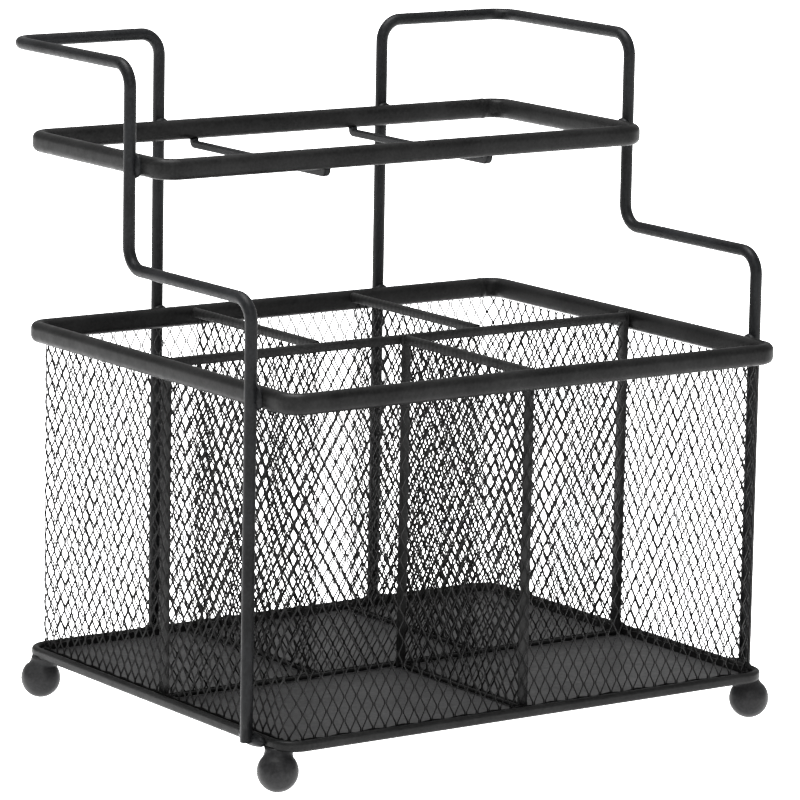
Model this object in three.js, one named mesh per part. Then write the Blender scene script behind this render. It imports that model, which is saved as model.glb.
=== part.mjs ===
// Wire-mesh caddy organizer: an expanded-metal basket with five compartments, an upper
// three-opening ring and two bent-wire side frames, on four ball feet.
// Millimetres, +Z up. The origin is at floor level under the middle of the whole object;
// +X runs along the long side to the right, +Y runs to the back, and the front faces -Y.
// The Y values below count from the middle of the basket, and the whole group is then
// moved forward, because the side frames stand out behind the basket.

import * as THREE from 'three';

// ---- driving dimensions -------------------------------------------------------------

const GAP = 0.3;                 // clearance kept between touching pieces

const BASKET_WIDTH = 239;        // outside of the rim, along X
const BASKET_DEPTH = 198;        // outside of the rim, along Y
const BASKET_CORNER = 10;        // outer corner radius of the rim

const TUBE_THICKNESS = 6;        // flattened tube of the rim and the ring
const TUBE_HEIGHT = 8.5;
const TUBE_EDGE = 2.4;           // radius of its rounded edges
const RIM_TOP = 156.3;
const RING_TOP = 234.5;
const RING_FRONT = -7.5;         // front face of the upper ring
const RING_CORNER = 11;

const BALL_RADIUS = 8.2;
const BALL_FLAT = 2;             // radius of the small flat each ball rests on
const BALL_INSET_X = 4;          // ball centre in from the basket's outside
const BALL_INSET_Y = 9.6;        // and in from the base's front and back
const FOOT_NECK = 0.35;          // height between a ball and the bead above it

const BASE_WIDTH = 238;
const BASE_DEPTH = 196.6;
const BASE_CORNER = 11;
const BASE_SHIFT_Y = 0.4;        // the base sits slightly behind the rim's centre
const BEAD_THICKNESS = 3.2;      // rolled edge that stands up round the base sheet
const BEAD_HEIGHT = 4.4;
const BEAD_EDGE = 1.4;
const PAN_LIFT = 0.1;            // base sheet's underside above the rolled edge's
const PAN_THICKNESS = 1;

const MESH_THICKNESS = 1;
const WALL_INSET = 5.2;          // mesh wall's outside, in from the rim's outside
const WALL_CORNER = 6.5;

const DIVIDER_TOP = 155.8;
const LONG_DIVIDER_Y = -3.4;
const REAR_DIVIDER_X = 39.7;     // the two rear dividers stand at plus and minus this
const FRONT_DIVIDER_X = -0.8;
const DIVIDER_SHEET = 0.8;       // thickness of a divider's mesh
const FLANGE_SHEET = 0.8;        // thickness of the flat strips on a divider's ends
const LONG_END_SPREAD = [-1.5, 5.5];     // how far each end strip spreads across its divider
const FRONT_END_SPREAD = [-0.8, 4];
const REAR_END_SPREAD = [-2.3, 2.5];
const STRIP_WIDTH = 3;           // folded strip along a divider's top and bottom
const CAP_HEIGHT = 3.8;
const HEM_HEIGHT = 2;
const STRIP_SHEET = 0.5;
const CAP_SETBACK = 3.5;         // a rear divider's top cap stops this far from its front end

const WIRE_RADIUS = 2.5;         // side frames
const WIRE_BEND = 9;             // bend radius of the wire's centre line
const FRONT_LEG_Y = -76.3;
const STEP_Z = 189.9;            // height of the step from front leg to riser
const RISER_Y = 12;
const HANDLE_Z = 270;            // centre line of the top rails
const REAR_LEG_LEFT = -52.7;
const REAR_LEG_RIGHT = 58.8;
const LEG_LIFT = 1.2;            // a leg's end above the underside of the rolled edge

const CROSSBAR_SIZE = 3;         // square wire under the ring that parts its openings
const CROSSBAR_EDGE = 0.8;       // radius of its rounded edges
const CROSSBAR_Z = 224;
const CROSSBAR_BEND = 1.6;
const CROSSBAR_INSET = 4.4;      // its upright ends, in from the ring's outer faces

const CORNER_SEGMENTS = 4;       // facets in each rounded corner, seen in plan
const EDGE_SEGMENTS = 3;         // in each rounded edge of a tube
const BEND_SEGMENTS = 5;         // in each bend of a wire
const WIRE_SEGMENTS = 6;         // in each arc of a wire's section
const BALL_RINGS = 12;
const BALL_SIDES = 24;

// ---- derived levels -----------------------------------------------------------------

const RIM_BOTTOM = RIM_TOP - TUBE_HEIGHT;
const RING_BOTTOM = RING_TOP - TUBE_HEIGHT;
const BALL_HEIGHT = BALL_RADIUS + Math.sqrt(BALL_RADIUS ** 2 - BALL_FLAT ** 2);
const BEAD_BOTTOM = BALL_HEIGHT + FOOT_NECK;
const PAN_BOTTOM = BEAD_BOTTOM + PAN_LIFT;
const PAN_TOP = PAN_BOTTOM + PAN_THICKNESS;
const DIVIDER_BOTTOM = PAN_TOP + GAP;
const LEG_END = BEAD_BOTTOM + LEG_LIFT;
const FRAME_X = BASKET_WIDTH / 2 + GAP + WIRE_RADIUS;
const FRAME_BACK = BASKET_DEPTH / 2 + GAP + WIRE_RADIUS;
const INNER_X = BASKET_WIDTH / 2 - WALL_INSET - MESH_THICKNESS - GAP;
const INNER_Y = BASKET_DEPTH / 2 - WALL_INSET - MESH_THICKNESS - GAP;

// ---- finishes -----------------------------------------------------------------------

const powderCoat = new THREE.MeshStandardMaterial({ color: 0x2a2b2c, roughness: 0.55, metalness: 0.2 });
const meshCoat = new THREE.MeshStandardMaterial({ color: 0x262728, roughness: 0.6, metalness: 0.2 });
const panCoat = new THREE.MeshStandardMaterial({ color: 0x303132, roughness: 0.5, metalness: 0.2 });

const caddy = new THREE.Group();

function addPiece(name, geometry, material) {
  const piece = new THREE.Mesh(geometry, material);
  piece.name = name;
  caddy.add(piece);
  return piece;
}

// ---- shape helpers ------------------------------------------------------------------

// A closed outline of a rectangle with round corners, centred on (0, 0).
function roundedRectangle(Outline, width, depth, radius) {
  const x = width / 2 - radius;
  const y = depth / 2 - radius;
  const outline = new Outline();
  outline.absarc(x, y, radius, 0, Math.PI / 2);
  outline.absarc(-x, y, radius, Math.PI / 2, Math.PI);
  outline.absarc(-x, -y, radius, Math.PI, 1.5 * Math.PI);
  outline.absarc(x, -y, radius, 1.5 * Math.PI, 2 * Math.PI);
  outline.closePath();
  return outline;
}

// A bar that runs round a rounded rectangle; its section has edges rounded by `edge`.
function loopBar({ width, depth, corner, thickness, height, edge }) {
  const outer = roundedRectangle(THREE.Shape, width - 2 * edge, depth - 2 * edge, corner - edge);
  const reach = thickness - edge;
  const hole = roundedRectangle(
    THREE.Path, width - 2 * reach, depth - 2 * reach, corner - reach);
  outer.holes.push(hole);
  const bar = new THREE.ExtrudeGeometry(outer, {
    depth: height - 2 * edge,
    bevelEnabled: true,
    bevelThickness: edge,
    bevelSize: edge,
    bevelSegments: EDGE_SEGMENTS,
    curveSegments: CORNER_SEGMENTS,
  });
  bar.translate(0, 0, edge);
  return bar;
}

// A round wire's centre line: straight runs between corner points, joined by true arcs.
// Its stations are the ends of the runs and a few points on each arc.
class BentWire extends THREE.Curve {
  constructor(corners, radius) {
    super();
    this.points = [corners[0]];
    this.tangents = [corners[1].clone().sub(corners[0]).normalize()];
    for (let i = 1; i < corners.length - 1; i += 1) {
      this.addBend(corners[i - 1], corners[i], corners[i + 1], radius);
    }
    const last = corners.length - 1;
    this.points.push(corners[last]);
    this.tangents.push(corners[last].clone().sub(corners[last - 1]).normalize());
  }

  addBend(before, corner, after, radius) {
    const into = corner.clone().sub(before).normalize();
    const away = after.clone().sub(corner).normalize();
    const turn = into.angleTo(away);
    const setback = radius * Math.tan(turn / 2);
    const start = corner.clone().addScaledVector(into, -setback);
    const inward = away.clone().addScaledVector(into, -away.dot(into)).normalize();
    for (let step = 0; step <= BEND_SEGMENTS; step += 1) {
      const angle = turn * step / BEND_SEGMENTS;
      const point = start.clone()
        .addScaledVector(into, radius * Math.sin(angle))
        .addScaledVector(inward, radius * (1 - Math.cos(angle)));
      const tangent = into.clone().multiplyScalar(Math.cos(angle))
        .addScaledVector(inward, Math.sin(angle));
      this.points.push(point);
      this.tangents.push(tangent);
    }
  }

  get steps() {
    return this.points.length - 1;
  }

  stationAt(list, t) {
    const place = t * this.steps;
    const index = Math.min(Math.floor(place), this.steps - 1);
    return list[index].clone().lerp(list[index + 1], place - index);
  }

  getPoint(t) {
    return this.stationAt(this.points, t);
  }

  getPointAt(t) {
    return this.getPoint(t);
  }

  getTangentAt(t) {
    return this.stationAt(this.tangents, t).normalize();
  }

  getSpacedPoints() {
    return this.points.map((point) => point.clone());
  }
}

// A wire with the given section, bent through the given corner points.
function bentWire(corners, section, bendRadius) {
  const path = new BentWire(corners, bendRadius);
  return new THREE.ExtrudeGeometry(section, {
    steps: path.steps,
    extrudePath: path,
    curveSegments: WIRE_SEGMENTS,
    bevelEnabled: false,
  });
}

const at = (x, y, z) => new THREE.Vector3(x, y, z);

// ---- basket -------------------------------------------------------------------------

const tube = { thickness: TUBE_THICKNESS, height: TUBE_HEIGHT, edge: TUBE_EDGE };

const rim = addPiece('basket_rim', loopBar({
  width: BASKET_WIDTH, depth: BASKET_DEPTH, corner: BASKET_CORNER, ...tube,
}), powderCoat);
rim.position.z = RIM_BOTTOM;

// The mesh wall is one strip bent round under the rim. It stands on the base sheet.
function meshWall() {
  const width = BASKET_WIDTH - 2 * WALL_INSET;
  const depth = BASKET_DEPTH - 2 * WALL_INSET;
  const outer = roundedRectangle(THREE.Shape, width, depth, WALL_CORNER);
  outer.holes.push(roundedRectangle(
    THREE.Path,
    width - 2 * MESH_THICKNESS,
    depth - 2 * MESH_THICKNESS,
    WALL_CORNER - MESH_THICKNESS,
  ));
  const height = RIM_BOTTOM - GAP - (PAN_TOP + GAP);
  return new THREE.ExtrudeGeometry(outer, {
    depth: height,
    bevelEnabled: false,
    curveSegments: CORNER_SEGMENTS,
  });
}

const wall = addPiece('mesh_wall', meshWall(), meshCoat);
wall.position.z = PAN_TOP + GAP;

const bead = addPiece('base_bead', loopBar({
  width: BASE_WIDTH,
  depth: BASE_DEPTH,
  corner: BASE_CORNER,
  thickness: BEAD_THICKNESS,
  height: BEAD_HEIGHT,
  edge: BEAD_EDGE,
}), powderCoat);
bead.position.set(0, BASE_SHIFT_Y, BEAD_BOTTOM);

function basePan() {
  const inset = BEAD_THICKNESS + GAP;
  const sheet = roundedRectangle(
    THREE.Shape, BASE_WIDTH - 2 * inset, BASE_DEPTH - 2 * inset, BASE_CORNER - inset);
  return new THREE.ExtrudeGeometry(sheet, {
    depth: PAN_THICKNESS, bevelEnabled: false, curveSegments: CORNER_SEGMENTS,
  });
}

const pan = addPiece('base_pan', basePan(), panCoat);
pan.position.set(0, BASE_SHIFT_Y, PAN_BOTTOM);

// ---- dividers -----------------------------------------------------------------------

function plate(fromX, toX, fromY, toY, bottom, top) {
  const solid = new THREE.BoxGeometry(toX - fromX, toY - fromY, top - bottom);
  solid.translate((fromX + toX) / 2, (fromY + toY) / 2, (bottom + top) / 2);
  return solid;
}

function dividerMesh(start, end) {
  const half = DIVIDER_SHEET / 2;
  const inset = STRIP_SHEET + GAP;
  return plate(start, end, -half, half, DIVIDER_BOTTOM + inset, DIVIDER_TOP - inset);
}

// A folded strip is a channel along X. Its web is at height `web`, and its two sides reach
// from there to `height` above it, or below it where `height` is negative.
function foldedStrip(start, end, web, height) {
  const halfWidth = STRIP_WIDTH / 2;
  const halfSlot = halfWidth - STRIP_SHEET;
  const sheet = STRIP_SHEET * Math.sign(height);
  const profile = [
    [-halfWidth, 0],
    [halfWidth, 0],
    [halfWidth, height],
    [halfSlot, height],
    [halfSlot, sheet],
    [-halfSlot, sheet],
    [-halfSlot, height],
    [-halfWidth, height],
  ];
  const outline = new THREE.Shape(profile.map(([y, z]) => new THREE.Vector2(-y, z)));
  const strip = new THREE.ExtrudeGeometry(outline, { depth: end - start, bevelEnabled: false });
  strip.rotateX(Math.PI / 2);
  strip.rotateZ(Math.PI / 2);
  strip.translate(start, 0, web);
  return strip;
}

// A divider runs along X from `place`, seen in plan, before it is turned. Its mesh is held
// between a cap on top and a hem below. Some dividers have a flat strip at each end, which
// lies against the wall. `capSetback` is where the cap starts, counted from the mesh's start.
function addDivider({ name, place, length, turn, capSetback = 0, ends = [] }) {
  const inset = ends.length > 0 ? FLANGE_SHEET + GAP : 0;
  const start = inset;
  const end = length - inset;
  const cap = foldedStrip(start + capSetback, end, DIVIDER_TOP, -CAP_HEIGHT);
  const hem = foldedStrip(start, end, DIVIDER_BOTTOM, HEM_HEIGHT);
  const pieces = [
    addPiece(`${name}_mesh`, dividerMesh(start, end), meshCoat),
    addPiece(`${name}_top_cap`, cap, powderCoat),
    addPiece(`${name}_bottom_strip`, hem, powderCoat),
  ];
  for (const { side, atFarEnd, spread } of ends) {
    const near = atFarEnd ? length - FLANGE_SHEET : 0;
    const strip = plate(near, near + FLANGE_SHEET, ...spread, DIVIDER_BOTTOM, DIVIDER_TOP);
    pieces.push(addPiece(`${name}_${side}_end_strip`, strip, powderCoat));
  }
  for (const piece of pieces) {
    piece.position.set(place[0], place[1], 0);
    piece.rotation.z = turn;
  }
}

const clearOfLong = STRIP_WIDTH / 2 + GAP;
const rearStart = LONG_DIVIDER_Y + clearOfLong;
const frontEnd = LONG_DIVIDER_Y - clearOfLong;

addDivider({
  name: 'long_divider',
  place: [-INNER_X, LONG_DIVIDER_Y],
  length: 2 * INNER_X,
  turn: 0,
  ends: [
    { side: 'left', atFarEnd: false, spread: LONG_END_SPREAD },
    { side: 'right', atFarEnd: true, spread: LONG_END_SPREAD },
  ],
});
for (const [side, x] of [['left', -REAR_DIVIDER_X], ['right', REAR_DIVIDER_X]]) {
  addDivider({
    name: `rear_${side}_divider`,
    place: [x, rearStart],
    length: INNER_Y - rearStart,
    turn: Math.PI / 2,
    capSetback: CAP_SETBACK,
  });
}
addDivider({
  name: 'front_divider',
  place: [FRONT_DIVIDER_X, -INNER_Y],
  length: frontEnd + INNER_Y,
  turn: Math.PI / 2,
  ends: [
    { side: 'front', atFarEnd: false, spread: FRONT_END_SPREAD },
    { side: 'rear', atFarEnd: true, spread: REAR_END_SPREAD },
  ],
});

// ---- upper ring ---------------------------------------------------------------------

const ringDepth = BASKET_DEPTH / 2 - RING_FRONT;
const ring = addPiece('upper_ring', loopBar({
  width: BASKET_WIDTH, depth: ringDepth, corner: RING_CORNER, ...tube,
}), powderCoat);
ring.position.set(0, RING_FRONT + ringDepth / 2, RING_BOTTOM);

// A crossbar hangs under the ring's front and back bars, with both ends bent up to them.
const crossbarSection = roundedRectangle(
  THREE.Shape, CROSSBAR_SIZE, CROSSBAR_SIZE, CROSSBAR_EDGE);

function crossbar(x) {
  const front = RING_FRONT + CROSSBAR_INSET;
  const back = BASKET_DEPTH / 2 - CROSSBAR_INSET;
  const top = RING_BOTTOM - GAP;
  const corners = [
    at(x, front, top),
    at(x, front, CROSSBAR_Z),
    at(x, back, CROSSBAR_Z),
    at(x, back, top),
  ];
  return bentWire(corners, crossbarSection, CROSSBAR_BEND);
}

addPiece('ring_crossbar_left', crossbar(-REAR_DIVIDER_X), powderCoat);
addPiece('ring_crossbar_right', crossbar(REAR_DIVIDER_X), powderCoat);

// ---- side frames --------------------------------------------------------------------

const wireSection = new THREE.Shape();
wireSection.absarc(0, 0, WIRE_RADIUS, 0, 2 * Math.PI);

// One wire: front leg, step back, riser beside the ring, top rail, turn inwards, rear leg.
function sideFrame(x, rearLegX) {
  const corners = [
    at(x, FRONT_LEG_Y, LEG_END),
    at(x, FRONT_LEG_Y, STEP_Z),
    at(x, RISER_Y, STEP_Z),
    at(x, RISER_Y, HANDLE_Z),
    at(x, FRAME_BACK, HANDLE_Z),
    at(rearLegX, FRAME_BACK, HANDLE_Z),
    at(rearLegX, FRAME_BACK, LEG_END),
  ];
  return bentWire(corners, wireSection, WIRE_BEND);
}

addPiece('left_side_frame', sideFrame(-FRAME_X, REAR_LEG_LEFT), powderCoat);
addPiece('right_side_frame', sideFrame(FRAME_X, REAR_LEG_RIGHT), powderCoat);

// ---- ball feet ----------------------------------------------------------------------

function ballFoot() {
  const start = Math.asin(BALL_FLAT / BALL_RADIUS);
  const profile = [new THREE.Vector2(0, 0)];
  for (let step = 0; step < BALL_RINGS; step += 1) {
    const angle = start + (Math.PI - start) * step / BALL_RINGS;
    profile.push(new THREE.Vector2(
      BALL_RADIUS * Math.sin(angle),
      BALL_RADIUS * (Math.cos(start) - Math.cos(angle)),
    ));
  }
  profile.push(new THREE.Vector2(0, BALL_HEIGHT));
  const ball = new THREE.LatheGeometry(profile, BALL_SIDES);
  ball.rotateX(Math.PI / 2);
  return ball;
}

const footX = BASKET_WIDTH / 2 - BALL_INSET_X;
const footY = BASE_DEPTH / 2 - BALL_INSET_Y;
for (const [side, x] of [['left', -footX], ['right', footX]]) {
  for (const [end, y] of [['front', -footY], ['rear', footY]]) {
    const foot = addPiece(`ball_foot_${end}_${side}`, ballFoot(), powderCoat);
    foot.position.set(x, y + BASE_SHIFT_Y, 0);
  }
}

const frontMost = -BASKET_DEPTH / 2;
const backMost = FRAME_BACK + WIRE_RADIUS;
caddy.position.y = -(frontMost + backMost) / 2;

export default caddy;
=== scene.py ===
"""Wire-mesh caddy organizer: the finished look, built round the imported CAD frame.

Lengths are in metres, in the CAD's own frame: +X to the right along the long side, +Y to the back, +Z up.
"""
import math

import bmesh
import bpy
import numpy as np
from mathutils import Matrix, Vector


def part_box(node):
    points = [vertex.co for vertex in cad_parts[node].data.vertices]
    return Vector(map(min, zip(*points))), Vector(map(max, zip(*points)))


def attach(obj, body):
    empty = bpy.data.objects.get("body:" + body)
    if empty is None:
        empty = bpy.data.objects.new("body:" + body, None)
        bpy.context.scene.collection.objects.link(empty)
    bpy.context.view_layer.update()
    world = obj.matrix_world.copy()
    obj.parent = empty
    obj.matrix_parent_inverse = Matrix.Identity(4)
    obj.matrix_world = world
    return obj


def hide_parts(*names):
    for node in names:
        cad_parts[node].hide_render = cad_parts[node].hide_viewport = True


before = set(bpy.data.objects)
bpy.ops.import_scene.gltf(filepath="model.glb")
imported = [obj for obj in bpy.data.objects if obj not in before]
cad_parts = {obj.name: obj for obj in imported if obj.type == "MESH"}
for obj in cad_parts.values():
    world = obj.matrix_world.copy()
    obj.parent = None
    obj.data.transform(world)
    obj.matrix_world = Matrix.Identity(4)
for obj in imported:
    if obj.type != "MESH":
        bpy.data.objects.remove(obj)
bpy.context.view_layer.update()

MM = 0.001

# ---- places, from the frame ---------------------------------------------------------

RIM_LOW, RIM_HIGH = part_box("basket_rim")
RING_LOW, RING_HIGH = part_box("upper_ring")
BEAD_LOW, BEAD_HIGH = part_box("base_bead")
PAN_LOW, PAN_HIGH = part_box("base_pan")
WALL_LOW, WALL_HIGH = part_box("mesh_wall")

# ---- sizes the boxes don't give -----------------------------------------------------

TUBE_THICKNESS = 6 * MM          # flattened tube of the rim and the ring
TUBE_EDGE = 2.9 * MM             # radius of its rounded edges
RIM_CORNER = 10 * MM
RING_CORNER = 11 * MM
BASE_CORNER = 11 * MM
BEAD_THICKNESS = 3.2 * MM        # rolled edge round the base
BEAD_EDGE = 1.5 * MM
PAN_CURL = 2.4 * MM              # radius where the base sheet turns up inside the rolled edge
PAN_TUCK = 0.4 * MM              # how far the sheet reaches into the rolled edge
PAN_FLAT_INSET = 3               # flat part starts this many curls in from the sheet's edge
PAN_THINNING = 0.9               # thickness along the curl, over the sheet's
PAN_LIP_OUT = 0.2 * MM           # the curl's lower edge, further out than its upper one
PAN_LIP_RISE = 1 * MM            # and above the rolled edge's underside

WIRE_RADIUS = 2.5 * MM
WIRE_BEND = 9 * MM
STEP_HEIGHT = 189.9 * MM         # centre line of a side frame's lower step
RISER_FORWARD = 89.8 * MM        # riser's centre line, forward of the back rail's
CROSSBAR_BEND = 1.6 * MM
CROSSBAR_REACH = 0.8 * MM        # its ends rise this far past the CAD bar's, to meet the ring

WALL_CORNER = 6 * MM             # of the mesh wall's middle line
WALL_SHEET = 1 * MM
WALL_REACH = 0.8 * MM            # mesh rises this far past the CAD wall, behind the rim's lower edge
SHADE_HEM_SHEET = 0.6 * MM             # dark solid edge along the bottom of the wall's mesh, put there as painted shade inside the base's rolled edge
SHADE_HEM_HEIGHT = 2.6 * MM
SHADE_HEM_WAVE = 0.12                  # unevenness of its top, as a share of its height
SHADE_HEM_RUN_STEPS = 60               # along each straight side, so that the unevenness shows

# Expanded metal: diamonds stand upright, two strands side by side at each knot.
DIAMOND_WIDTH = 5.5 * MM
DIAMOND_HEIGHT = 9.3 * MM
KNOT_SHARE = 0.22                # share of half a diamond's height taken by the knot
FIRST_KNOT = 0.35                # lowest knot under the mesh's bottom, in half diamonds
STRAND_WIDTH = 0.67 * MM
STRAND_THICKNESS = 0.3 * MM
STRAND_TILT = math.radians(30)   # how far expansion turns the strands out of the sheet

STRIP_STEP = 0.55 * MM           # along folded strips, fine enough for their ripple
STRIP_SHEET = 0.5 * MM
STRIP_CROWN = 0.9                # height of a fold's round back over half its width
STRIP_LIP = 0.15 * MM            # rounding of a folded strip's free edges
STRIP_RIPPLE = 0.06              # share of its width
FOLD_STEPS = 8
END_LIP = 0.25 * MM              # bevel along an end strip
END_RIPPLE = 0.05

BALL_SWELL = 1.003               # makes up for the flats of the CAD ball's facets
BALL_FLAT = 2 * MM               # radius of the flat the ball rests on
NECK_RADIUS = 5.8 * MM
NECK_ROOT = 1.06                 # size where the neck leaves the ball, over NECK_RADIUS
NECK_LEAN = 1.5 * MM             # a foot's neck leans inwards, under the base
NECK_REACH = 0.9 * MM            # how far it rises into the rolled edge
NECK_WAIST = ((0.25, 0.98), (0.5, 0.96), (0.75, 0.97), (1, 1))     # share of its height, size

# Welds: half sizes along the bar, away from it, and up.
WELD_GAP = 0.15 * MM             # a weld's middle stands this far off the bar
TALL_WELD = (4.3 * MM, 2.1 * MM, 4.9 * MM)
LOW_WELD = (9 * MM, 2.4 * MM, 2.7 * MM)
BUTT_SETBACK = 1 * MM            # butt weld's middle, from the start of the corner
BUTT_RIDGE = ((-1.3, 0.97), (-0.7, 1.025), (0, 1.04), (0.7, 1.025), (1.3, 0.97))  # mm along, size
BUTT_SINK = 0.02                 # share of the tube's thickness, so the ridge ends at the tube's back

# ---- fineness of round shapes -------------------------------------------------------

CORNER_STEPS = 12
EDGE_STEPS = 6
BEND_STEPS = 14
CROSSBAR_BEND_STEPS = 10
WIRE_RUN = 12 * MM
WIRE_SIDES = 28
WIRE_END_STEPS = 5
WIRE_END_DOME = 0.55             # height of a wire's rounded end, over its radius
CROSSBAR_SIDES = 48
ROUND, SQUARED = 2, 6            # how square a wire's section is
ASKEW = (0.3, 0.9, 0.31)         # a direction that no run of wire follows
CURL_STEPS = 6
BALL_SIDES = 48
BALL_STEPS = 28
WELD_SIDES = 20
WELD_RINGS = 12

# ---- light and camera ---------------------------------------------------------------

FLOOR_SIZE = 30
WORLD_LIGHT = 0.7
FLOOR_GLOW = 2.4
OVERHEAD_POWER = 48
KEY_POWER = 14
CAMERA_PLACE = Vector((-1159.6, -1662.9, 503.0)) * MM
CAMERA_HEADING = math.radians(-34.94)
CAMERA_PITCH = math.radians(10.49)
CAMERA_ROLL = math.radians(-1.026)
LENS = 228.0
SENSOR_WIDTH = 36


# ---- materials ----------------------------------------------------------------------

def powder_coat(name, dark, light, rough, speckle=0.5, peel=0.35):
    """Satin black powder coat: mottled colour, fine orange peel, slightly uneven gloss."""
    material = bpy.data.materials.new(name)
    material.use_nodes = True
    nodes = material.node_tree.nodes
    links = material.node_tree.links
    shader = nodes["Principled BSDF"]
    place = nodes.new("ShaderNodeTexCoord")

    def noise(scale, detail):
        node = nodes.new("ShaderNodeTexNoise")
        node.inputs["Scale"].default_value = scale
        node.inputs["Detail"].default_value = detail
        node.inputs["Roughness"].default_value = 0.55
        links.new(place.outputs["Object"], node.inputs["Vector"])
        return node.outputs["Fac"]

    def ramp(value, low, high):
        node = nodes.new("ShaderNodeValToRGB")
        node.color_ramp.elements[0].position = 0.35
        node.color_ramp.elements[1].position = 0.65
        node.color_ramp.elements[0].color = (*low, 1)
        node.color_ramp.elements[1].color = (*high, 1)
        links.new(value, node.inputs["Fac"])
        return node.outputs["Color"]

    def spread(value, low, high):
        node = nodes.new("ShaderNodeMapRange")
        node.inputs["From Min"].default_value = 0.3
        node.inputs["From Max"].default_value = 0.7
        node.inputs["To Min"].default_value = low
        node.inputs["To Max"].default_value = high
        links.new(value, node.inputs["Value"])
        return node.outputs["Result"]

    mottle = noise(900, 3)
    clouds = noise(45, 2)
    mixed = nodes.new("ShaderNodeMix")
    mixed.inputs["Factor"].default_value = speckle
    links.new(clouds, mixed.inputs["A"])
    links.new(mottle, mixed.inputs["B"])
    links.new(ramp(mixed.outputs["Result"], dark, light), shader.inputs["Base Color"])
    links.new(spread(noise(260, 2), rough - 0.06, rough + 0.08), shader.inputs["Roughness"])
    bump = nodes.new("ShaderNodeBump")
    bump.inputs["Strength"].default_value = peel
    bump.inputs["Distance"].default_value = 0.05 * MM
    links.new(noise(1500, 2), bump.inputs["Height"])
    links.new(bump.outputs["Normal"], shader.inputs["Normal"])
    shader.inputs["Specular IOR Level"].default_value = 0.08
    return material


TUBE_COAT = powder_coat("tube_coat", (0.002, 0.002, 0.002), (0.009, 0.009, 0.009), 0.42)
WIRE_COAT = powder_coat("wire_coat", (0.002, 0.0021, 0.0023), (0.009, 0.0095, 0.0103), 0.42)
MESH_COAT = powder_coat("mesh_coat", (0.003, 0.003, 0.003), (0.008, 0.008, 0.008), 0.5, 0.7, 0.2)
# painted highlight: a lighter copy of the black coat, so the folded strips show a light line along their
# tops
STRIP_COAT_PAINTED_HIGHLIGHT = powder_coat("strip_coat_painted_highlight", (0.004, 0.004, 0.004), (0.014, 0.014, 0.014), 0.45)
# painted light: a much lighter copy of the black coat, standing in for the light and the grazing
# reflection on the base sheet
PAN_COAT_PAINTED_LIGHT = powder_coat("pan_coat_painted_light", (0.019, 0.019, 0.0192), (0.035, 0.035, 0.0353), 0.45, 0.6)
BALL_COAT = powder_coat("ball_coat", (0.006, 0.006, 0.0063), (0.016, 0.016, 0.0165), 0.38)


# ---- mesh helpers -------------------------------------------------------------------

def add_piece(name, vertices, faces, material, node, smooth=True):
    """One visible piece that rides on the only body and stands in for one CAD node."""
    mesh = bpy.data.meshes.new(name)
    mesh.from_pydata([tuple(v) for v in vertices], [], faces)
    mesh.validate()
    mesh.materials.append(material)
    if smooth:
        mesh.shade_smooth()
    piece = bpy.data.objects.new(name, mesh)
    bpy.context.scene.collection.objects.link(piece)
    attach(piece, "root")
    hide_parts(node)
    return piece


def turn_faces_out(piece):
    shape = bmesh.new()
    shape.from_mesh(piece.data)
    bmesh.ops.recalc_face_normals(shape, faces=shape.faces)
    shape.to_mesh(piece.data)
    shape.free()


def grid_faces(rows, columns, close_rows, close_columns):
    """Quads joining a grid of points, row by row."""
    faces = []
    for i in range(rows if close_rows else rows - 1):
        for j in range(columns if close_columns else columns - 1):
            i2, j2 = (i + 1) % rows, (j + 1) % columns
            faces.append((i * columns + j, i2 * columns + j, i2 * columns + j2, i * columns + j2))
    return faces


def bar_faces(sections, sides):
    """Faces of a bar with a flat face at each end."""
    faces = grid_faces(sections, sides, False, True)
    faces.append(tuple(range(sides)))
    faces.append(tuple(reversed(range((sections - 1) * sides, sections * sides))))
    return faces


def pole_faces(rings, sides):
    """Faces of rings closed at both ends by a pole; the two poles follow the rings' own points."""
    faces = grid_faces(rings, sides, False, True)
    first, last = rings * sides, rings * sides + 1
    base = (rings - 1) * sides
    for k in range(sides):
        faces.append((first, k, (k + 1) % sides))
        faces.append((last, base + (k + 1) % sides, base + k))
    return faces


def rounded_path(width, depth, corner, run_steps=1):
    """Points and outward normals round a rectangle with round corners, centred on 0.

    Each straight side is cut into run_steps.
    """
    points, normals = [], []
    x, y = width / 2 - corner, depth / 2 - corner
    centres = [np.array(c) for c in ((x, y), (-x, y), (-x, -y), (x, -y))]
    for quarter, centre in enumerate(centres):
        for step in range(CORNER_STEPS + 1):
            angle = (quarter + step / CORNER_STEPS) * math.pi / 2
            out = np.array([math.cos(angle), math.sin(angle)])
            points.append(centre + corner * out)
            normals.append(out)
        start, end = points[-1], centres[(quarter + 1) % 4] + corner * out
        for step in range(1, run_steps):
            share = step / run_steps
            points.append(start * (1 - share) + end * share)
            normals.append(out)
    return np.array(points), np.array(normals)


def pill_section(thickness, height, edge):
    """A flattened tube's section: (outward, upward) points, anticlockwise, outside face at 0."""
    section = []
    right, left = -edge, edge - thickness
    centres = [(right, height - edge), (left, height - edge), (left, edge), (right, edge)]
    for quarter, (outward, up) in enumerate(centres):
        for step in range(EDGE_STEPS + 1):
            angle = (quarter + step / EDGE_STEPS) * math.pi / 2
            section.append((outward + edge * math.cos(angle), up + edge * math.sin(angle)))
    return section


# ---- rims, ring and bead ------------------------------------------------------------

def loop_bar(name, low, high, corner, thickness, edge, node):
    """A flattened tube bent round a rounded rectangle that fills the box from low to high."""
    width, depth, height = high - low
    path, normals = rounded_path(width, depth, corner)
    middle = (low + high) / 2
    section = pill_section(thickness, height, edge)
    vertices = []
    for place, out in zip(path, normals):
        for outward, up in section:
            x, y = place + out * outward
            vertices.append((middle.x + x, middle.y + y, low.z + up))
    faces = grid_faces(len(path), len(section), True, True)
    add_piece(name, vertices, faces, TUBE_COAT, node)


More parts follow.
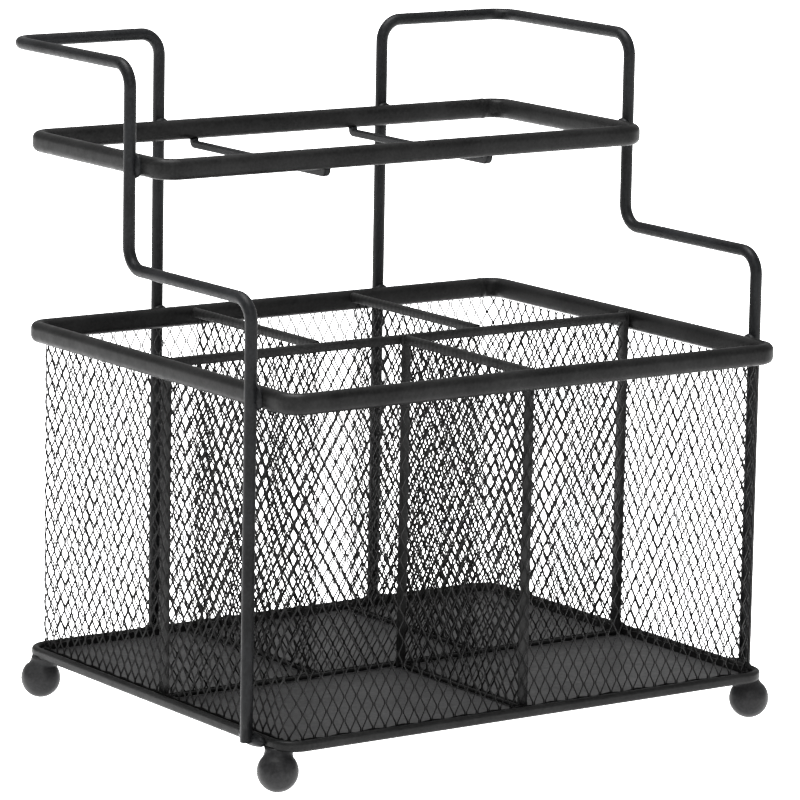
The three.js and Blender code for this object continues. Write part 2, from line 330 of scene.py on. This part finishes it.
loop_bar("rim_tube", RIM_LOW, RIM_HIGH, RIM_CORNER, TUBE_THICKNESS, TUBE_EDGE, "basket_rim")
loop_bar("ring_tube", RING_LOW, RING_HIGH, RING_CORNER, TUBE_THICKNESS, TUBE_EDGE, "upper_ring")
loop_bar("base_bead_roll", BEAD_LOW, BEAD_HIGH, BASE_CORNER, BEAD_THICKNESS, BEAD_EDGE, "base_bead")


# ---- base sheet ---------------------------------------------------------------------

def base_sheet():
    """The flat floor sheet. Its edge curls up inside the rolled edge all round."""
    middle = (BEAD_LOW + BEAD_HIGH) / 2
    width, depth = (BEAD_HIGH - BEAD_LOW).xy
    edge = BEAD_THICKNESS - PAN_TUCK
    thickness = PAN_HIGH.z - PAN_LOW.z
    flat_from = edge + PAN_FLAT_INSET * PAN_CURL
    upper = []
    for k in range(CURL_STEPS + 1):
        angle = math.pi / 2 * k / CURL_STEPS
        inset = edge + PAN_CURL * (1 - math.cos(angle))
        upper.append((inset, PAN_HIGH.z + PAN_CURL * (1 - math.sin(angle))))
    under = [(inset, z - thickness * PAN_THINNING) for inset, z in reversed(upper)]
    under[-1] = (edge - PAN_LIP_OUT, BEAD_LOW.z + PAN_LIP_RISE)
    upper.append((flat_from, PAN_HIGH.z))
    under.insert(0, (flat_from, PAN_LOW.z))
    vertices = []
    for inset, z in upper + under:
        path, normals = rounded_path(width, depth, BASE_CORNER)
        vertices += [(middle.x + x, middle.y + y, z) for x, y in path - normals * inset]
    count = len(path)
    rows = len(upper) + len(under)
    last_upper = len(upper) - 1
    faces = []
    for row in range(rows):
        if row == last_upper:
            continue
        here, there = row * count, (row + 1) % rows * count
        for j in range(count):
            j2 = (j + 1) % count
            faces.append((here + j, here + j2, there + j2, there + j))
    faces.append(tuple(last_upper * count + j for j in range(count)))
    faces.append(tuple(len(upper) * count + j for j in reversed(range(count))))
    turn_faces_out(add_piece("base_sheet", vertices, faces, PAN_COAT_PAINTED_LIGHT, "base_pan"))


base_sheet()


# ---- bent wire ----------------------------------------------------------------------

def wire_stations(corners, bend, bend_steps):
    """Centre-line points and tangents of a wire bent through corners with true arcs."""
    corners = [np.array(c, float) for c in corners]
    points, tangents = [], []

    def run(start, end):
        length = np.linalg.norm(end - start)
        direction = (end - start) / length
        steps = max(1, int(length / WIRE_RUN))
        for k in range(steps):
            points.append(start + (end - start) * k / steps)
            tangents.append(direction)

    here = corners[0]
    for before, corner, after in zip(corners, corners[1:], corners[2:]):
        into = (corner - before) / np.linalg.norm(corner - before)
        away = (after - corner) / np.linalg.norm(after - corner)
        turn = math.acos(max(-1, min(1, into @ away)))
        setback = bend * math.tan(turn / 2)
        start = corner - into * setback
        inward = away - into * (away @ into)
        inward /= np.linalg.norm(inward)
        run(here, start)
        for k in range(bend_steps):
            angle = turn * k / bend_steps
            points.append(start + into * bend * math.sin(angle) + inward * bend * (1 - math.cos(angle)))
            tangents.append(into * math.cos(angle) + inward * math.sin(angle))
        here = corner + away * setback
    run(here, corners[-1])
    points.append(corners[-1])
    tangents.append((corners[-1] - here) / np.linalg.norm(corners[-1] - here))
    return points, tangents


def unit_section(sides, square):
    """Points round a circle of radius 1, or round a squarer shape as `square` rises above 2."""
    section = []
    for k in range(sides):
        angle = 2 * math.pi * k / sides
        across, along = math.cos(angle), math.sin(angle)
        reach = (abs(across) ** square + abs(along) ** square) ** (1 / square)
        section.append((across / reach, along / reach))
    return section


def wire_surface(points, tangents, radius, section, beside):
    """Vertices and faces of a wire with domed ends. Its section's first axis starts square to `beside`."""
    normal = np.cross(tangents[0], beside)
    normals = []
    for tangent in tangents:
        normal = normal - tangent * (normal @ tangent)
        normal = normal / np.linalg.norm(normal)
        normals.append(normal)
    drops = []
    for k in range(1, WIRE_END_STEPS + 1):
        angle = math.pi / 2 * k / (WIRE_END_STEPS + 1)
        drops.append(radius * WIRE_END_DOME * (1 - math.sin(angle)))
    rings = [(points[0] + tangents[0] * drop, 0, radius - drop) for drop in drops]
    rings += [(points[i], i, radius) for i in range(1, len(points) - 1)]
    rings += [(points[-1] - tangents[-1] * drop, -1, radius - drop) for drop in reversed(drops)]
    vertices = []
    for centre, i, size in rings:
        side = np.cross(tangents[i], normals[i])
        vertices += [centre + size * (across * normals[i] + along * side) for across, along in section]
    vertices += [points[0], points[-1]]
    return vertices, pole_faces(len(rings), len(section))


def side_frame(side):
    """One bent wire: front leg, step back, riser, rail to the back, and rear leg."""
    node = f"{side}_side_frame"
    low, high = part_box(node)
    r = WIRE_RADIUS
    outer = low.x + r if side == "left" else high.x - r
    inner = high.x - r if side == "left" else low.x + r
    front, back = low.y + r, high.y - r
    top, foot = high.z - r, low.z
    riser = back - RISER_FORWARD
    corners = [
        (outer, front, foot),
        (outer, front, STEP_HEIGHT),
        (outer, riser, STEP_HEIGHT),
        (outer, riser, top),
        (outer, back, top),
        (inner, back, top),
        (inner, back, foot),
    ]
    points, tangents = wire_stations(corners, WIRE_BEND, BEND_STEPS)
    section = unit_section(WIRE_SIDES, ROUND)
    vertices, faces = wire_surface(points, tangents, r, section, ASKEW)
    add_piece(f"{side}_frame_wire", vertices, faces, WIRE_COAT, node)


def crossbar(side):
    """A square wire that drops under the ring and crosses it from front to back."""
    node = f"ring_crossbar_{side}"
    low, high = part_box(node)
    r = (high.x - low.x) / 2
    x = (low.x + high.x) / 2
    front, back = low.y + r, high.y - r
    level, top = low.z + r, high.z + CROSSBAR_REACH
    corners = [(x, front, top), (x, front, level), (x, back, level), (x, back, top)]
    points, tangents = wire_stations(corners, CROSSBAR_BEND, CROSSBAR_BEND_STEPS)
    section = unit_section(CROSSBAR_SIDES, SQUARED)
    vertices, faces = wire_surface(points, tangents, r, section, (0, 1, 0))
    add_piece(f"crossbar_{side}_wire", vertices, faces, WIRE_COAT, node)


for side in ("left", "right"):
    side_frame(side)
for side in ("left", "right"):
    crossbar(side)


# ---- expanded metal -----------------------------------------------------------------

def plan_line(points):
    """A line's length in plan, and a function giving place and direction at a distance along it."""
    points = np.array(points, float)
    steps = np.linalg.norm(np.diff(points, axis=0), axis=1)
    reach = np.concatenate([[0], np.cumsum(steps)])

    def at(distance):
        distance = min(max(distance, 0), reach[-1] - 1e-9)
        i = int(np.searchsorted(reach, distance, side="right")) - 1
        share = (distance - reach[i]) / steps[i]
        direction = (points[i + 1] - points[i]) / steps[i]
        return points[i] + (points[i + 1] - points[i]) * share, direction

    return reach[-1], at


def between_heights(stations, bottom, top):
    """The part of a rising line of (distance, depth, height) stations from bottom to top."""

    def at_height(lower, upper, height):
        share = (height - lower[2]) / (upper[2] - lower[2])
        distance, depth = (a + (b - a) * share for a, b in zip(lower[:2], upper[:2]))
        return distance, depth, height

    kept = []
    for lower, upper in zip(stations, stations[1:]):
        if upper[2] <= bottom or lower[2] >= top:
            continue
        if lower[2] < bottom:
            lower = at_height(lower, upper, bottom)
        if upper[2] > top:
            upper = at_height(lower, upper, top)
        if not kept:
            kept.append(lower)
        kept.append(upper)
    return kept


def strand_stations(k, pitch, tilt, bottom, top):
    """Strand k's middle line: it keeps near k half-diamonds along, and swings between its neighbours.

    It lies flat against each neighbour in turn, over the length of a knot.
    """
    half = DIAMOND_HEIGHT / 2
    knot = half * KNOT_SHARE
    stations = []
    for row in range(int((top - bottom) / half) + 3):
        side = 1 if (row + k) % 2 else -1
        distance = (k + 0.5 * side) * pitch - side * 0.5 * STRAND_WIDTH * math.cos(tilt)
        depth = side * 0.5 * STRAND_WIDTH * math.sin(tilt)
        level = bottom + (row - FIRST_KNOT) * half
        stations.append((distance, depth, level - knot / 2))
        stations.append((distance, depth, level + knot / 2))
    return between_heights(stations, bottom, top)


def expanded_metal(name, line, bottom, top, node, closed=False, flip_tilt=False):
    """Expanded metal standing on a line in plan, as its real strands."""
    length, at = plan_line(line)
    count = round(length / (DIAMOND_WIDTH / 2))
    if closed and count % 2:
        count += 1
    pitch = length / count
    tilt = -STRAND_TILT if flip_tilt else STRAND_TILT
    corners = ((1, 1), (-1, 1), (-1, -1), (1, -1))
    vertices, faces = [], []
    for k in range(count) if closed else range(1, count):
        stations = strand_stations(k, pitch, tilt, bottom, top)
        first = len(vertices)
        for distance, depth, height in stations:
            place, direction = at(distance % length if closed else distance)
            out = np.array([direction[1], -direction[0]])
            across = np.array([*(direction * math.cos(tilt) + out * math.sin(tilt)), 0])
            face = np.array([*(-direction * math.sin(tilt) + out * math.cos(tilt)), 0])
            centre = np.array([*(place + out * depth), height])
            for a, b in corners:
                vertices.append(centre + 0.5 * (across * a * STRAND_WIDTH + face * b * STRAND_THICKNESS))
        for i in range(len(stations) - 1):
            here = first + i * 4
            for j in range(4):
                j2 = (j + 1) % 4
                faces.append((here + j, here + j2, here + 4 + j2, here + 4 + j))
        faces.append((first + 3, first + 2, first + 1, first))
        faces.append(tuple(range(len(vertices) - 4, len(vertices))))
    add_piece(name, vertices, faces, MESH_COAT, node, smooth=False)


def wall_line(run_steps=1):
    """The middle line of the mesh wall, in plan, and its outward normals."""
    width, depth = (WALL_HIGH - WALL_LOW).xy
    path, normals = rounded_path(width - WALL_SHEET, depth - WALL_SHEET, WALL_CORNER, run_steps)
    middle = (WALL_LOW + WALL_HIGH) / 2
    return path + np.array(middle.xy), normals


def wall_mesh():
    path, _ = wall_line()
    line = [*path, path[0]]
    top = WALL_HIGH.z + WALL_REACH
    expanded_metal("wall_expanded_mesh", line, WALL_LOW.z, top, "mesh_wall", closed=True, flip_tilt=True)


def wall_shade_hem():
    """A dark solid edge along the bottom of the wall's mesh, standing inside the base's rolled edge as
    painted shade.
    """
    path, normals = wall_line(SHADE_HEM_RUN_STEPS)
    bottom, half = WALL_LOW.z, SHADE_HEM_SHEET / 2
    vertices = []
    for i, (place, out) in enumerate(zip(path, normals)):
        top = bottom + SHADE_HEM_HEIGHT * (1 + SHADE_HEM_WAVE * math.sin(i * math.pi / 2))
        for offset, z in ((half, bottom), (half, top), (-half, top), (-half, bottom)):
            vertices.append((*(place + out * offset), z))
    faces = grid_faces(len(path), 4, True, True)
    # painted shade: a dark strip of mesh coat standing in for the shade inside the rolled edge
    shade_hem = add_piece("wall_mesh_shade_hem", vertices, faces, MESH_COAT, "mesh_wall", smooth=False)
    turn_faces_out(shade_hem)


wall_mesh()
wall_shade_hem()


# ---- dividers -----------------------------------------------------------------------

def folded_strip(node, along_x, opens_down):
    """A thin strip folded over the mesh's edge. The strands that end inside it show as a fine ripple."""
    low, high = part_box(node)
    half = ((high.y - low.y) if along_x else (high.x - low.x)) / 2
    crown = half * STRIP_CROWN
    outer, inner = [], []
    for k in range(FOLD_STEPS + 1):
        angle = math.pi * k / FOLD_STEPS
        across, up = math.cos(angle), math.sin(angle)
        outer.append((half * across, crown * up))
        inner.append(((half - STRIP_SHEET) * across, (crown - STRIP_SHEET) * up))
    foot = crown - (high.z - low.z)
    profile = [(half, foot + STRIP_LIP), *outer, (-half, foot + STRIP_LIP)]
    profile += [(STRIP_LIP - half, foot), (STRIP_SHEET - half, foot)]
    profile += [*reversed(inner), (half - STRIP_SHEET, foot), (half - STRIP_LIP, foot)]
    spring = high.z - crown if opens_down else low.z + crown
    up = 1 if opens_down else -1
    start, end = (low.x, high.x) if along_x else (low.y, high.y)
    side = ((low + high) / 2).y if along_x else ((low + high) / 2).x
    steps = int((end - start) / STRIP_STEP)
    vertices = []
    for k in range(steps + 1):
        run = start + (end - start) * k / steps
        wave = 0.5 - 0.5 * math.cos(4 * math.pi * (run - start) / DIAMOND_WIDTH)
        swell = 1 - STRIP_RIPPLE * wave
        for a, b in profile:
            z = spring + up * (b * swell if b > 0 else b)
            across = side + a * swell
            vertices.append((run, across, z) if along_x else (across, run, z))
    faces = bar_faces(steps + 1, len(profile))
    turn_faces_out(add_piece(f"{node}_fold", vertices, faces, STRIP_COAT_PAINTED_HIGHLIGHT, node))


def end_strip(node, across_x):
    """A flat strip against the wall. Its edges ripple where the mesh's strands are folded into it."""
    low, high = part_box(node)
    half = ((high.x - low.x) if across_x else (high.y - low.y)) / 2
    thick = ((high.y - low.y) if across_x else (high.x - low.x)) / 2
    middle = (low + high) / 2
    side_lip, face_lip = half - END_LIP, thick - END_LIP
    profile = [
        (half, -face_lip), (half, face_lip), (side_lip, thick), (-side_lip, thick),
        (-half, face_lip), (-half, -face_lip), (-side_lip, -thick), (side_lip, -thick),
    ]
    steps = int((high.z - low.z) / STRIP_STEP)
    vertices = []
    for k in range(steps + 1):
        z = low.z + (high.z - low.z) * k / steps
        wave = math.cos(2 * math.pi * (z - low.z) / (DIAMOND_HEIGHT / 2))
        for a, b in profile:
            a *= 1 - END_RIPPLE * (1 + (wave if a > 0 else -wave))
            x, y = (a, b) if across_x else (b, a)
            vertices.append((middle.x + x, middle.y + y, z))
    faces = bar_faces(steps + 1, len(profile))
    turn_faces_out(add_piece(f"{node}_fold", vertices, faces, STRIP_COAT_PAINTED_HIGHLIGHT, node))


def divider(name, end_strips=()):
    """Mesh held in folded strips, from the divider's CAD boxes."""
    low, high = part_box(f"{name}_mesh")
    along_x = (high.x - low.x) > (high.y - low.y)
    middle = (low + high) / 2
    if along_x:
        line = [(low.x, middle.y), (high.x, middle.y)]
    else:
        line = [(middle.x, low.y), (middle.x, high.y)]
    mesh_name = f"{name}_expanded_mesh"
    expanded_metal(mesh_name, line, low.z, high.z, f"{name}_mesh", flip_tilt=not along_x)
    folded_strip(f"{name}_top_cap", along_x, opens_down=True)
    folded_strip(f"{name}_bottom_strip", along_x, opens_down=False)
    for side in end_strips:
        end_strip(f"{name}_{side}_end_strip", across_x=not along_x)


divider("long_divider", ("left", "right"))
divider("rear_left_divider")
divider("rear_right_divider")
divider("front_divider", ("front", "rear"))


# ---- ball feet ----------------------------------------------------------------------

def ball_foot(node):
    """A ball with a worn flat underneath and a weld neck that leans inwards to the base above."""
    low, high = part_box(node)
    centre = (low + high) / 2
    radius = (high.x - low.x) / 2 * BALL_SWELL
    start = math.asin(BALL_FLAT / radius)
    end = math.pi - math.asin(NECK_RADIUS * NECK_ROOT / radius)
    profile = [(BALL_FLAT * 0.7, 0, 0)]
    for k in range(BALL_STEPS + 1):
        angle = start + (end - start) * k / BALL_STEPS
        profile.append((radius * math.sin(angle), radius * (math.cos(start) - math.cos(angle)), 0))
    neck = profile[-1][1]
    top = BEAD_LOW.z + NECK_REACH - low.z
    for share, size in NECK_WAIST:
        profile.append((NECK_RADIUS * size, neck + (top - neck) * share, NECK_LEAN * share ** 0.7))
    inwards = Vector((-math.copysign(1, centre.x), -math.copysign(1, centre.y)))
    vertices = []
    for r, z, lean in profile:
        for k in range(BALL_SIDES):
            angle = 2 * math.pi * k / BALL_SIDES
            x = centre.x + inwards.x * lean + r * math.cos(angle)
            y = centre.y + inwards.y * lean + r * math.sin(angle)
            vertices.append((x, y, low.z + z))
    vertices.append((centre.x, centre.y, low.z))
    vertices.append((centre.x + inwards.x * NECK_LEAN, centre.y + inwards.y * NECK_LEAN, low.z + top))
    name = node.replace("ball_foot", "welded_ball")
    faces = pole_faces(len(profile), BALL_SIDES)
    turn_faces_out(add_piece(name, vertices, faces, BALL_COAT, node))


for end in ("front", "rear"):
    for side in ("left", "right"):
        ball_foot(f"ball_foot_{end}_{side}")


# ---- welds --------------------------------------------------------------------------

def butt_weld(name, low, high, corner, node):
    """A low ridge where a tube's two ends meet, at the start of its back right corner."""
    height = high.z - low.z
    section = pill_section(TUBE_THICKNESS, height, TUBE_EDGE)
    middle = Vector((-TUBE_THICKNESS / 2, height / 2))
    x = high.x - corner - BUTT_SETBACK
    y = high.y - BUTT_SINK * TUBE_THICKNESS
    vertices = []
    for shift, size in BUTT_RIDGE:
        for point in section:
            outward, up = middle + (Vector(point) - middle) * size
            vertices.append((x + shift * MM, y + outward, low.z + up))
    faces = grid_faces(len(BUTT_RIDGE), len(section), False, True)
    turn_faces_out(add_piece(name, vertices, faces, TUBE_COAT, node))


def weld_lump(place, along, away, size):
    """A lump of weld, slightly uneven round its middle."""
    vertices = []
    for i in range(1, WELD_RINGS):
        polar = math.pi * i / WELD_RINGS
        for k in range(WELD_SIDES):
            angle = 2 * math.pi * k / WELD_SIDES
            uneven = 1 + 0.05 * math.sin(3 * angle + 2 * i) + 0.03 * math.cos(5 * angle - i)
            reach = math.sin(polar) * uneven
            offset = (along * size[0] * math.cos(angle) + away * size[1] * math.sin(angle)) * reach
            vertices.append((place.x + offset.x, place.y + offset.y, place.z + size[2] * math.cos(polar)))
    vertices.append((place.x, place.y, place.z + size[2]))
    vertices.append((place.x, place.y, place.z - size[2]))
    return vertices, pole_faces(WELD_RINGS - 1, WELD_SIDES)


def frame_welds(side):
    """Welds between one side frame and the bars it touches, as one piece."""
    node = f"{side}_side_frame"
    low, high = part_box(node)
    outward = -1 if side == "left" else 1
    outer_x = outward * (RIM_HIGH.x + WELD_GAP)
    rear_x = (high.x - WIRE_RADIUS) if side == "left" else (low.x + WIRE_RADIUS)
    rear_y = RIM_HIGH.y + WELD_GAP
    leg_y = low.y + WIRE_RADIUS
    riser_y = high.y - WIRE_RADIUS - RISER_FORWARD
    rim_z = (RIM_LOW.z + RIM_HIGH.z) / 2
    ring_z = (RING_LOW.z + RING_HIGH.z) / 2
    bead_z = (BEAD_LOW.z + BEAD_HIGH.z) / 2
    right, back = Vector((1, 0, 0)), Vector((0, 1, 0))
    spots = [
        (Vector((outer_x, leg_y, rim_z)), back, right, TALL_WELD),
        (Vector((outer_x, leg_y, bead_z)), back, right, LOW_WELD),
        (Vector((outer_x, riser_y, ring_z)), back, right, TALL_WELD),
        (Vector((rear_x, rear_y, rim_z)), right, back, TALL_WELD),
        (Vector((rear_x, rear_y, ring_z)), right, back, TALL_WELD),
        (Vector((rear_x, rear_y, bead_z)), right, back, LOW_WELD),
    ]
    vertices, faces = [], []
    for spot in spots:
        base = len(vertices)
        lump, lump_faces = weld_lump(*spot)
        vertices += lump
        faces += [tuple(i + base for i in face) for face in lump_faces]
    turn_faces_out(add_piece(f"{side}_frame_welds", vertices, faces, WIRE_COAT, node))


butt_weld("rim_butt_weld", RIM_LOW, RIM_HIGH, RIM_CORNER, "basket_rim")
butt_weld("ring_butt_weld", RING_LOW, RING_HIGH, RING_CORNER, "upper_ring")
for side in ("left", "right"):
    frame_welds(side)


# ---- floor, light and camera --------------------------------------------------------

def white_floor():
    """A glowing white floor, which hides shadows as a lit studio sweep does."""
    material = bpy.data.materials.new("floor_white")
    material.use_nodes = True
    shader = material.node_tree.nodes["Principled BSDF"]
    shader.inputs["Base Color"].default_value = (0.9, 0.9, 0.9, 1)
    shader.inputs["Roughness"].default_value = 0.8
    shader.inputs["Specular IOR Level"].default_value = 0.1
    shader.inputs["Emission Color"].default_value = (1, 1, 1, 1)
    shader.inputs["Emission Strength"].default_value = FLOOR_GLOW
    bpy.ops.mesh.primitive_plane_add(size=FLOOR_SIZE, location=(0, 0, 0))
    floor = bpy.context.object
    floor.name = "floor"
    floor.data.materials.append(material)


def white_world():
    world = bpy.data.worlds.new("studio")
    world.use_nodes = True
    background = world.node_tree.nodes["Background"]
    background.inputs["Color"].default_value = (1, 1, 1, 1)
    background.inputs["Strength"].default_value = WORLD_LIGHT
    bpy.context.scene.world = world


def softbox(name, place, target, power):
    data = bpy.data.lights.new(name, "AREA")
    data.shape = "DISK"
    data.size = 1.0
    data.energy = power
    lamp = bpy.data.objects.new(name, data)
    lamp.location = place
    lamp.rotation_mode = "QUATERNION"
    lamp.rotation_quaternion = (Vector(target) - Vector(place)).to_track_quat("-Z", "Y")
    bpy.context.scene.collection.objects.link(lamp)


def add_camera():
    data = bpy.data.cameras.new("camera")
    data.lens = LENS
    data.sensor_width = SENSOR_WIDTH
    data.clip_end = 100
    camera = bpy.data.objects.new("camera", data)
    bpy.context.scene.collection.objects.link(camera)
    camera.location = CAMERA_PLACE
    forward = Vector((
        -math.sin(CAMERA_HEADING) * math.cos(CAMERA_PITCH),
        math.cos(CAMERA_HEADING) * math.cos(CAMERA_PITCH),
        -math.sin(CAMERA_PITCH),
    ))
    roll = Matrix.Rotation(CAMERA_ROLL, 3, forward).to_quaternion()
    camera.rotation_mode = "QUATERNION"
    camera.rotation_quaternion = roll @ forward.to_track_quat("-Z", "Y")
    bpy.context.scene.camera = camera


white_floor()
white_world()
softbox("overhead", (-0.2, 0.1, 1.5), (0, 0, 0.1), OVERHEAD_POWER)
softbox("front_key", (-0.9, -1.7, 1.3), (0, 0, 0.12), KEY_POWER)
add_camera()
bpy.context.scene.view_settings.view_transform = "Standard"
